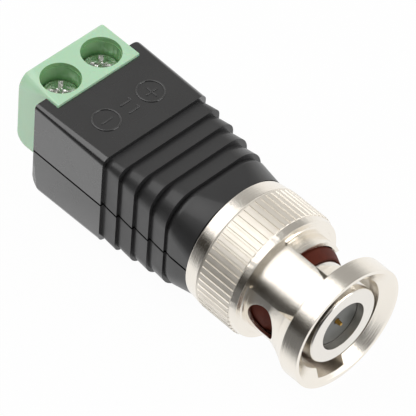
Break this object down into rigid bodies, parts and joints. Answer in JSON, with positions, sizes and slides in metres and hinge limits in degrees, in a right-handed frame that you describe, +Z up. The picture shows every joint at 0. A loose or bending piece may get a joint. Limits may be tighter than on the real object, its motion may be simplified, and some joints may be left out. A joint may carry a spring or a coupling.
{
  "type": "bnc terminal block adapter",
  "caption": "Bayonet coaxial plug joined to a screw terminal block by a ribbed black housing, for camera cables without solder.",
  "frame": {"origin": "on the connector axis, at the centre of the outer contact's front face, where the mating socket meets the plug", "axes": "+X along the connector axis, out of the plug; +Z up, out of the screw wells; Y across the two terminals, plus pole at +Y"},
  "size_m": [0.0383, 0.0132, 0.0132],
  "materials": {
    "black_housing": "moulded, satin gloss",
    "green_block": "moulded, satin",
    "zinc_steel": "zinc plated",
    "tinned_brass": "tin plated",
    "red_wire": "insulated",
    "black_wire": "insulated",
    "nickel_brass": "nickel plated, turned",
    "nickel_sleeve": "nickel plated casting, satin with turned faces",
    "gray_insulator": "moulded",
    "gold_pin": "gold plated",
    "silicone": "satin",
    "spring_steel": "plain"
  },
  "bodies": {
    "adapter": {"housing_top": "black_housing", "housing_bottom": "black_housing", "terminal_block": "green_block", "contact_strip_minus": "tinned_brass", "contact_strip_plus": "tinned_brass", "signal_wire": "red_wire", "ground_wire": "black_wire", "ground_lug": "tinned_brass", "rear_nut": "nickel_brass", "connector_body": "nickel_brass", "front_insulator": "gray_insulator", "rear_insulator": "gray_insulator", "center_pin": "gold_pin", "gasket": "silicone", "retaining_ring": "spring_steel", "spring_washer": "spring_steel"},
    "spring_seat": {"thrust_washer": "spring_steel"},
    "sleeve": {"coupling_sleeve": "nickel_sleeve"},
    "screw_minus": {"terminal_screw_minus": "zinc_steel"},
    "screw_plus": {"terminal_screw_plus": "zinc_steel"},
    "cage_minus": {"clamp_cage_minus": "zinc_steel"},
    "cage_plus": {"clamp_cage_plus": "zinc_steel"}
  },
  "joints": [
    {"name": "sleeve_spring", "type": "slide", "parent": "adapter", "child": "spring_seat", "axis": [1, 0, 0], "range_m": [0, 0.0004], "stiffness_N_per_m": 1000, "deforming": ["spring_washer"]},
    {"name": "sleeve_turn", "type": "hinge", "parent": "spring_seat", "child": "sleeve", "pos_m": [-0.009, 0, 0], "axis": [1, 0, 0], "continuous": true},
    {"name": "screw_minus_turn", "type": "hinge", "parent": "adapter", "child": "screw_minus", "pos_m": [-0.03494, -0.00254, 0.004], "axis": [0, 0, -1], "range_deg": [0, 1080]},
    {"name": "cage_minus_lift", "type": "slide", "parent": "adapter", "child": "cage_minus", "axis": [0, 0, 1], "range_m": [0, 0.0015]},
    {"name": "screw_plus_turn", "type": "hinge", "parent": "adapter", "child": "screw_plus", "pos_m": [-0.03494, 0.00254, 0.004], "axis": [0, 0, -1], "range_deg": [0, 1080]},
    {"name": "cage_plus_lift", "type": "slide", "parent": "adapter", "child": "cage_plus", "axis": [0, 0, 1], "range_m": [0, 0.0015]}
  ],
  "couplings": [
    {"joint": "screw_minus_turn", "follows": "cage_minus_lift", "rad_per_m": 12566},
    {"joint": "screw_plus_turn", "follows": "cage_plus_lift", "rad_per_m": 12566}
  ]
}
